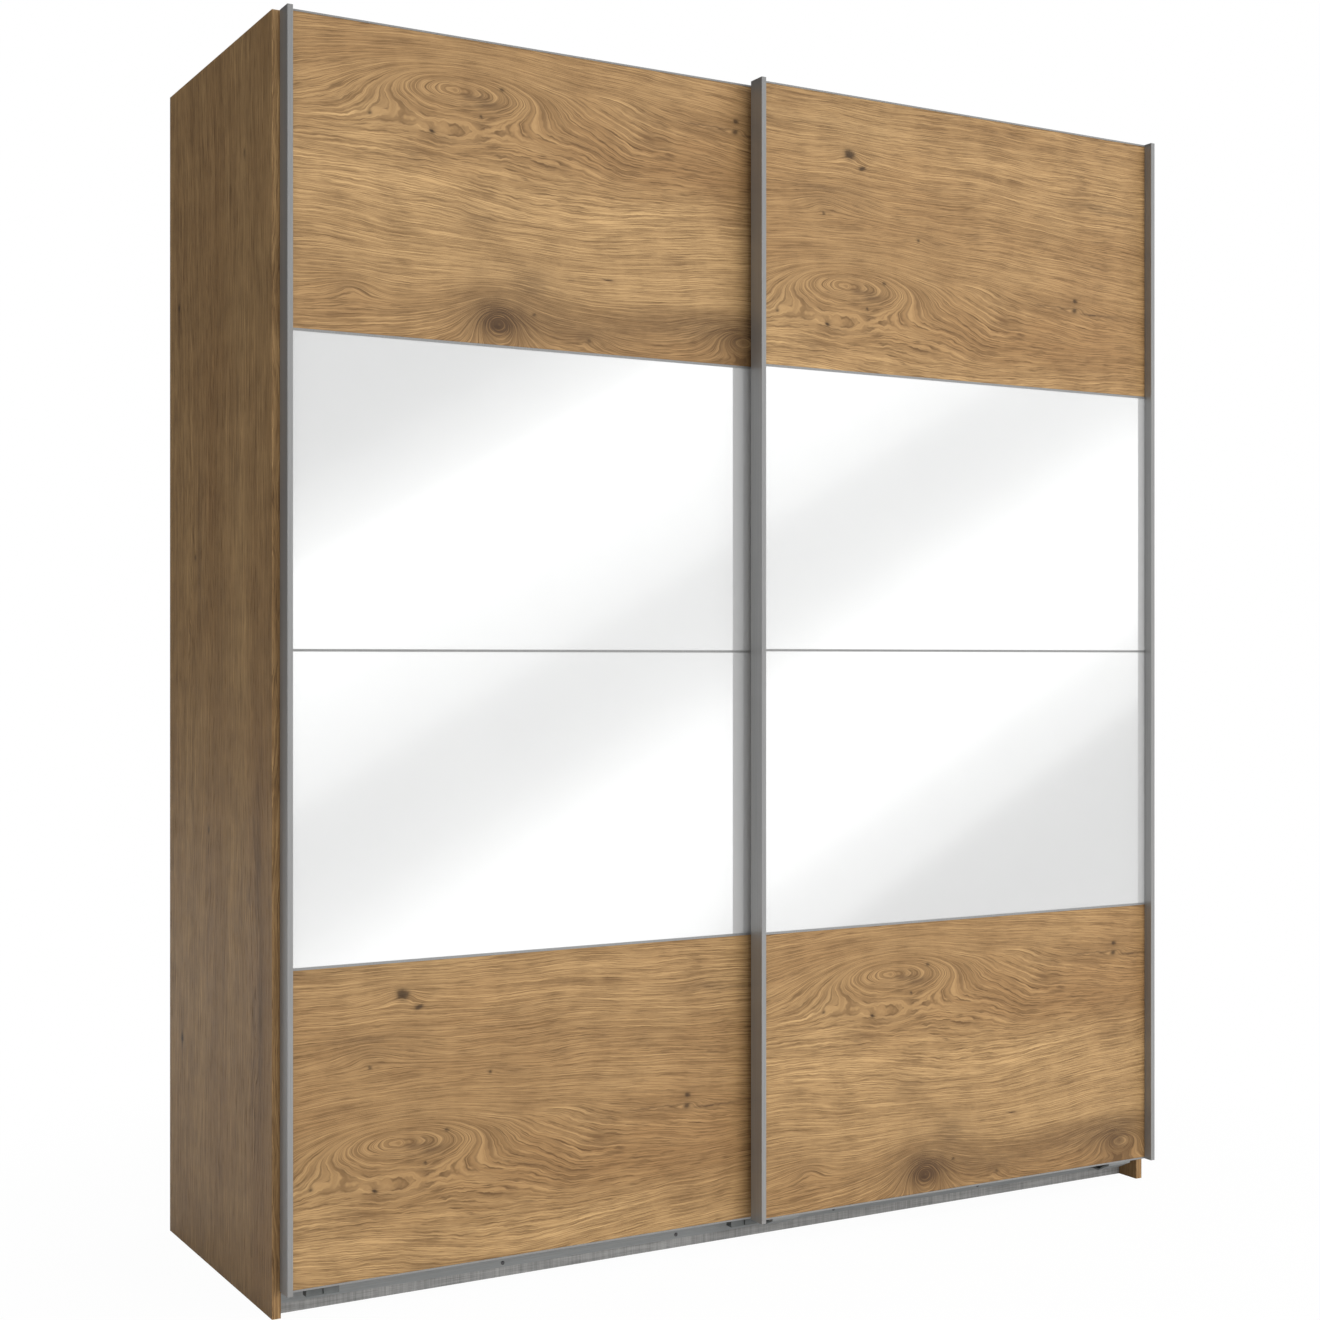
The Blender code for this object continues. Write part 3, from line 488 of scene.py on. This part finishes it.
def dress_nodes():
    """Gives every CAD node the finish of its slot, with three exceptions.

    Oak boards get their own cut of the decor, level boards a linen print that lies flat, and
    the outer door's guides the rail's finish.
    """
    slots = {part["node"]: part["material_slot"] for part in frame["record"]["subparts"]}
    for node, obj in NODES.items():
        if slots[node] in FINISHES:
            paint(obj, FINISHES[slots[node]])
    cuts = (  # board, how far its upper left corner lies into the decor: along, across
        ("left_door_oak_upper", 0.0, 0.0),
        ("right_door_oak_lower", 0.0, -0.005),
        ("right_door_oak_upper", 0.101, -0.263),
        ("left_door_oak_lower", 0.101, -0.209),
    )
    for node, along, over in cuts:
        low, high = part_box(node)
        origin = (low.x - along, 0.0, high.z + over)
        features = (KNOTS, SHADES, TINTS, FIGURES)
        paint(NODES[node], oak(node, origin, (1.0, 0.0, 0.0), (0.0, 0.0, -1.0), features))
    for side in SIDES:
        node = f"side_panel_{side}"
        low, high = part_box(node)
        features = (SIDE_KNOTS, SIDE_SHADES, SIDE_TINTS, SIDE_FIGURES)
        upright = oak(node, (low.x, low.y, 0.0), (0.0, 0.0, 1.0), (0.7, 1.0, 0.0), features)
        paint(NODES[node], upright)
        paint(NODES[f"right_door_guide_{side}"], FINISHES["rail_metal"])
        for kind in ("top_panel", "bottom_panel", "shelf"):
            paint(NODES[f"{kind}_{side}"], FINISHES["linen_board_flat"])


def paint(obj, finish):
    obj.data.materials.clear()
    obj.data.materials.append(finish)


# Detail pieces --------------------------------------------------------------------------------

HEAD_STEPS = 24  # points round a screw head
RAIL_SCREW_COUNT = 6
RAIL_SCREW_START = -0.842
RAIL_SCREW_PITCH = 0.343
CARRIAGE_SCREWS_ALONG = (-0.020, 0.020)  # from the carriage's middle
CARRIAGE_SCREWS_UP = (0.013, 0.040)  # from the carriage's foot
# The inner door passes close behind the outer one, whose heads are flatter
CARRIAGE_SCREW_HEIGHTS = {"left_door": 0.00035, "right_door": 0.00012}
NAIL_PITCH = 0.150
SHELF_PIN_INSET = 0.045
CAM_CAP_INSET = 0.034
TYRE_STEPS = 64
BEARING_STEPS = 48
TUBE_STEPS = 64
TUBE_WALL = 0.0012


def loft(bm, rings, closed=False):
    """Skins rings of equally many points; the ends get caps unless it closes on itself."""
    rows = [[bm.verts.new(point) for point in ring] for ring in rings]
    count = len(rows[0])
    pairs = list(zip(rows, rows[1:]))
    if closed:
        pairs.append((rows[-1], rows[0]))
    for lower, upper in pairs:
        for k in range(count):
            n = (k + 1) % count
            bm.faces.new((lower[k], lower[n], upper[n], upper[k]))
    if not closed:
        bm.faces.new(rows[0][::-1])
        bm.faces.new(rows[-1])


def facing(place, direction):
    """A frame at a place, whose Z is the direction."""
    turn = Vector(direction).to_track_quat("Z", "Y").to_matrix().to_4x4()
    return Matrix.Translation(place) @ turn


def circle(radius, height, steps, frame_here):
    turns = [2 * math.pi * k / steps for k in range(steps)]
    return [
        frame_here @ Vector((radius * math.cos(turn), radius * math.sin(turn), height))
        for turn in turns
    ]


def cross(radius, height, frame_here):
    """The outline of a cross recess, on as many points as a screw head's circles have."""
    points = []
    for k in range(HEAD_STEPS):
        reach = radius if k % 6 < 2 else radius * 0.42
        turn = 2 * math.pi * k / HEAD_STEPS
        point = Vector((reach * math.cos(turn), reach * math.sin(turn), height))
        points.append(frame_here @ point)
    return points


def add_screw(bm, place, direction, radius, height):
    """A domed head with a cross recess."""
    here = facing(place, direction)
    dome = ((1, 0), (1, 0.3), (0.82, 0.8), (0.6, 1))
    rings = [circle(radius * r, height * h, HEAD_STEPS, here) for r, h in dome]
    rings += [cross(radius * 0.52, height, here), cross(radius * 0.44, height * 0.3, here)]
    loft(bm, rings)


def add_turned(bm, place, direction, outline, steps=HEAD_STEPS):
    here = facing(place, direction)
    loft(bm, [circle(radius, height, steps, here) for radius, height in outline])


def finish_piece(name, bm, body, finish, smooth=35.0):
    """Makes the mesh an object that moves with a body."""
    bmesh.ops.recalc_face_normals(bm, faces=bm.faces)
    mesh = bpy.data.meshes.new(name)
    bm.to_mesh(mesh)
    bm.free()
    piece = bpy.data.objects.new(name, mesh)
    bpy.context.scene.collection.objects.link(piece)
    mesh.shade_smooth()
    mesh.set_sharp_from_angle(angle=math.radians(smooth))
    paint(piece, FINISHES[finish])
    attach(piece, body)
    return piece


def middle_of(node):
    low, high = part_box(node)
    return (low + high) / 2


def add_rail_screws():
    """A row of screws in the face of the guide rail and one between the running rail's tracks."""
    bm = bmesh.new()
    rail_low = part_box("running_rail")[0]
    rail_middle = middle_of("running_rail").y + 0.0027
    board_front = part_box("plinth_front")[0].y
    for k in range(RAIL_SCREW_COUNT):
        x = RAIL_SCREW_START + RAIL_SCREW_PITCH * k
        add_screw(bm, (x, board_front - 0.0023, 0.024), (0, -1, 0), 0.0034, 0.0014)
        add_screw(bm, (x, rail_middle, rail_low.z + 0.003), (0, 0, 1), 0.0030, 0.0018)
    finish_piece("rail_screws", bm, "carcass", "screw_steel")


def add_door_screws(door, height):
    """Screws of a door's two carriages, from behind."""
    bm = bmesh.new()
    for side in SIDES:
        low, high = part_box(f"{door}_carriage_{side}")
        for dx in CARRIAGE_SCREWS_ALONG:
            for dz in CARRIAGE_SCREWS_UP:
                place = ((low.x + high.x) / 2 + dx, low.y + 0.0025, low.z + dz)
                add_screw(bm, place, (0, 1, 0), 0.0036, height)
    finish_piece(f"{door}_carriage_screws", bm, door, "screw_steel")


def add_nails():
    """Nails round the back panels and along the shelves."""
    bm = bmesh.new()
    for side in SIDES:
        low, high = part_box(f"back_panel_{side}")
        outer = -1 if side == "left" else 1
        edge = (low.x if outer < 0 else high.x) - outer * 0.014
        for k in range(14):
            add_nail(bm, edge, high.y, low.z + 0.030 + NAIL_PITCH * k)
        shelf = middle_of(f"shelf_{side}").z
        top = middle_of(f"top_panel_{side}").z
        floor = middle_of(f"bottom_panel_{side}").z
        for height in (floor, shelf, top):
            for k in range(5):
                add_nail(bm, edge - outer * (0.145 + NAIL_PITCH * k), high.y, height)
    finish_piece("back_nails", bm, "carcass", "screw_steel")


def add_nail(bm, x, y, z):
    outline = ((0.0023, 0.0), (0.0023, 0.0003), (0.0017, 0.0007), (0.0007, 0.0009))
    add_turned(bm, (x, y, z), (0, 1, 0), outline, 12)


def add_shelf_pins():
    pins, caps = bmesh.new(), bmesh.new()
    pin = ((0.0045, 0.0), (0.0045, 0.0009), (0.0025, 0.0012), (0.0025, 0.0085), (0.0018, 0.0092))
    for side in SIDES:
        shelf_low, shelf_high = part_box(f"shelf_{side}")
        top_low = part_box(f"top_panel_{side}")[0]
        for end, turn in ((shelf_low.x - 0.0002, 1), (shelf_high.x + 0.0002, -1)):
            for y in (shelf_low.y + SHELF_PIN_INSET, shelf_high.y - SHELF_PIN_INSET):
                add_turned(pins, (end, y, shelf_low.z - 0.0046), (turn, 0, 0), pin)
                cap_place = (end + turn * CAM_CAP_INSET, y, top_low.z)
                add_screw(caps, cap_place, (0, 0, -1), 0.0085, 0.0008)
    finish_piece("shelf_pins", pins, "carcass", "zinc_steel")
    finish_piece("cam_caps", caps, "carcass", "light_plastic")


def add_plugs(door):
    """Plastic plugs in both ends of the hollow grip bars, just below their rims."""
    bm = bmesh.new()
    for side, turn in (("left", 1), ("right", -1)):
        low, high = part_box(f"{door}_profile_{side}")
        edge = low.x if turn > 0 else high.x
        face = high.y - 0.017
        x_range = sorted((edge + turn * 0.0017, edge + turn * 0.0080))
        y_range = (low.y + 0.0017, face - 0.0021)
        for end, inwards in ((high.z - 0.0004, -1), (low.z + 0.0004, 1)):
            rings = []
            for inset, depth in ((0.0007, 0.0), (0.0, 0.0006), (0.0, 0.005), (0.0012, 0.009)):
                rings.append(rectangle_ring(x_range, y_range, inset, end + inwards * depth))
            loft(bm, rings)
    finish_piece(f"{door}_grip_plugs", bm, door, "dark_plastic")


def rectangle_ring(x_range, y_range, inset, z):
    left, right = x_range[0] + inset, x_range[1] - inset
    front, back = y_range[0] + inset, y_range[1] - inset
    corners = ((left, front), (right, front), (right, back), (left, back))
    return [Vector((x, y, z)) for x, y in corners]


def add_wheel(door, side):
    """A moulded wheel, grooved for the ridge and thinner in its web, and its steel bearing."""
    node = f"{door}_wheel_{side}"
    here = facing(middle_of(node), (0, -1, 0))
    half = [(0.0054, 0.0048), (0.0058, 0.0034), (0.0102, 0.0034), (0.0108, 0.0048)]
    half += [(0.0128, 0.0050), (0.0134, 0.0044), (0.0135, 0.0028), (0.0121, 0.0017)]
    outline = half + [(radius, -along) for radius, along in half[::-1]]
    bm = bmesh.new()
    loft(bm, [circle(radius, along, TYRE_STEPS, here) for radius, along in outline], closed=True)
    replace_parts(finish_piece(f"{node}_tyre", bm, node, "light_plastic"), node)
    ring = [(0.0034, 0.0046), (0.0037, 0.0049), (0.0050, 0.0049), (0.0053, 0.0046)]
    outline = ring + [(radius, -along) for radius, along in ring[::-1]]
    bm = bmesh.new()
    loft(bm, [circle(radius, along, BEARING_STEPS, here) for radius, along in outline], closed=True)
    finish_piece(f"{node}_bearing", bm, node, "zinc_steel")


def add_clothes_rail(side):
    """The oval tube with smooth ends, in place of the faceted one."""
    node = f"clothes_rail_{side}"
    low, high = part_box(node)
    middle = (low + high) / 2
    radius, straight = (high.y - low.y) / 2, (high.z - low.z - (high.y - low.y)) / 2
    rings = []
    for wall, x in ((0.0, low.x), (0.0, high.x), (TUBE_WALL, high.x), (TUBE_WALL, low.x)):
        ring = []
        for k in range(TUBE_STEPS):
            turn = 2 * math.pi * (k + 0.5) / TUBE_STEPS
            lift = straight if math.sin(turn) > 0 else -straight
            y = middle.y + (radius - wall) * math.cos(turn)
            ring.append(Vector((x, y, middle.z + lift + (radius - wall) * math.sin(turn))))
        rings.append(ring)
    bm = bmesh.new()
    loft(bm, rings, closed=True)
    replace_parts(finish_piece(f"{node}_tube", bm, "carcass", "chrome_tube"), node)


def add_details():
    add_rail_screws()
    add_nails()
    add_shelf_pins()
    for door, height in CARRIAGE_SCREW_HEIGHTS.items():
        add_door_screws(door, height)
    for side in SIDES:
        add_clothes_rail(side)
    for door in DOORS:
        add_plugs(door)
        for side in SIDES:
            add_wheel(door, side)


# Stage ----------------------------------------------------------------------------------------


FLOOR_HALF_SIZE = (14.0, 6.5)
FLOOR_PLACE = (0.0, 3.1, 0.0)


def stage_plane(name, half_size, place, upright=False):
    bm = bmesh.new()
    bmesh.ops.create_grid(bm, x_segments=1, y_segments=1, size=1.0)
    bmesh.ops.scale(bm, vec=(*half_size, 1.0), verts=bm.verts)
    if upright:
        bmesh.ops.rotate(bm, matrix=Matrix.Rotation(math.pi / 2, 3, "X"), verts=bm.verts)
    bmesh.ops.translate(bm, vec=place, verts=bm.verts)
    mesh = bpy.data.meshes.new(name)
    bm.to_mesh(mesh)
    bm.free()
    plane = bpy.data.objects.new(name, mesh)
    bpy.context.scene.collection.objects.link(plane)
    return plane


def build_floor():
    """A pale floor that the camera and the mirrors see as almost plain white."""
    floor = stage_plane("floor", FLOOR_HALF_SIZE, FLOOR_PLACE)
    shader = Shader("floor")
    point = shader.place()
    distance = shader.vector_math("LENGTH", point)
    speckle = shader.noise(point, 30.0, 3.0)
    paint_colour = shader.mix(speckle, (0.90, 0.90, 0.90), (0.93, 0.93, 0.93))
    surface = shader.add("ShaderNodeBsdfDiffuse", {"Color": paint_colour})
    glow = shader.add("ShaderNodeEmission", {"Color": (1.0, 1.0, 1.0, 1.0), "Strength": 1.0})
    share = shader.remap(distance, 0.9, 1.8, 0.97, 1.0, smooth=True)
    rays = shader.add("ShaderNodeLightPath").outputs
    far_share = shader.remap(distance, 1.6, 3.2, 0.10, 1.0, smooth=True)
    far_share = shader.math("MULTIPLY", far_share, rays["Is Glossy Ray"])
    share = shader.math("MULTIPLY_ADD", share, rays["Is Camera Ray"], far_share, clamp=True)
    mixed = {0: share, 1: surface.outputs[0], 2: glow.outputs[0]}
    shader.show(shader.add("ShaderNodeMixShader", mixed))
    paint(floor, shader.material)


# Soft bands on the panel that the mirrors reflect: (place across the bands, brightness)
PANEL_BANDS = (
    (0.05, 0.465),
    (0.36, 0.480),
    (0.44, 0.667),
    (0.52, 0.758),
    (0.60, 0.917),
    (0.70, 0.970),
    (0.82, 0.962),
    (0.92, 0.803),
    (1.00, 0.667),
    (1.08, 0.629),
    (1.16, 0.758),
    (1.25, 0.864),
    (1.36, 0.947),
    (1.44, 0.970),
    (1.50, 0.818),
    (1.58, 0.636),
    (1.66, 0.515),
    (1.80, 0.470),
)
PANEL_PLACE = (3.0, -9.0, 3.0)
PANEL_HALF_SIZE = (11.0, 8.0)
CURVE_SPAN = 2.0  # the curve node takes 0 to 1, so places are divided by this
BAND_NORMAL = Vector((-0.482, 0.0, 0.876))


def build_panel():
    """A large softbox behind the camera; only reflections see it, as soft diagonal bands."""
    panel = stage_plane("softbox", PANEL_HALF_SIZE, PANEL_PLACE, upright=True)
    eye = Vector(CAMERA_PLACE)
    mirror_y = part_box("left_door_mirror_upper")[0].y
    # How much wider a band is on the panel than where the camera sees it in the mirror
    stretch = (2 * mirror_y - eye.y - PANEL_PLACE[1]) / (mirror_y - eye.y)
    shader = Shader("softbox")
    across = shader.along(shader.place(), tuple(BAND_NORMAL))
    centre = BAND_NORMAL.dot(eye)
    offset = shader.math("SUBTRACT", across, centre)
    band = shader.math("ADD", shader.math("DIVIDE", offset, stretch), centre)
    share = shader.math("DIVIDE", band, CURVE_SPAN)
    curve = shader.add("ShaderNodeFloatCurve", {"Value": share})
    line = curve.mapping.curves[0]
    for _ in range(len(PANEL_BANDS) - 2):
        line.points.new(0.5, 0.5)
    for point, (place, value) in zip(line.points, PANEL_BANDS):
        point.location = (place / CURVE_SPAN, value)
    curve.mapping.update()
    glow = shader.add("ShaderNodeEmission", {"Strength": curve.outputs[0]})
    shader.show(glow)
    paint(panel, shader.material)
    panel.visible_camera = False
    panel.visible_diffuse = False
    panel.visible_shadow = False


def build_world():
    """White backdrop; its light is full in front and on the right, and low on the left."""
    world = bpy.data.worlds.new("studio")
    bpy.context.scene.world = world
    world.use_nodes = True
    world.node_tree.nodes.clear()
    shader = Shader("studio", world.node_tree)
    direction = shader.add("ShaderNodeTexCoord").outputs["Generated"]
    lit_side = shader.along(direction, (0.62, -0.74, 0.26))
    glow = shader.remap(lit_side, -0.62, 0.85, 0.10, 1.30, smooth=True)
    seen = shader.add("ShaderNodeLightPath").outputs["Is Camera Ray"]
    strength = shader.math("MAXIMUM", seen, glow)
    strength = shader.math("MULTIPLY_ADD", seen, shader.math("SUBTRACT", 1.0, strength), strength)
    background = {"Color": (1.0, 1.0, 1.0, 1.0), "Strength": strength}
    shader.show(shader.add("ShaderNodeBackground", background), "ShaderNodeOutputWorld")


def add_area_light(name, place, target, size, power):
    data = bpy.data.lights.new(name, "AREA")
    data.shape = "RECTANGLE"
    data.size, data.size_y = size
    data.energy = power
    light = bpy.data.objects.new(name, data)
    light.location = place
    light.rotation_euler = (Vector(target) - Vector(place)).to_track_quat("-Z", "Y").to_euler()
    light.visible_glossy = False
    bpy.context.scene.collection.objects.link(light)


def build_camera():
    data = bpy.data.cameras.new("camera")
    data.lens = CAMERA_LENS
    data.sensor_width = CAMERA_SENSOR
    data.shift_y = CAMERA_SHIFT
    camera = bpy.data.objects.new("camera", data)
    camera.location = CAMERA_PLACE
    camera.rotation_euler = (math.pi / 2, 0.0, CAMERA_TURN)
    bpy.context.scene.collection.objects.link(camera)
    bpy.context.scene.camera = camera


dress_nodes()
add_details()
build_floor()
build_panel()
build_world()
add_area_light("key", (1.6, -5.5, 1.7), (0.0, 0.0, 0.7), (3.0, 2.2), 128.0)
build_camera()
bpy.context.scene.view_settings.view_transform = "Standard"
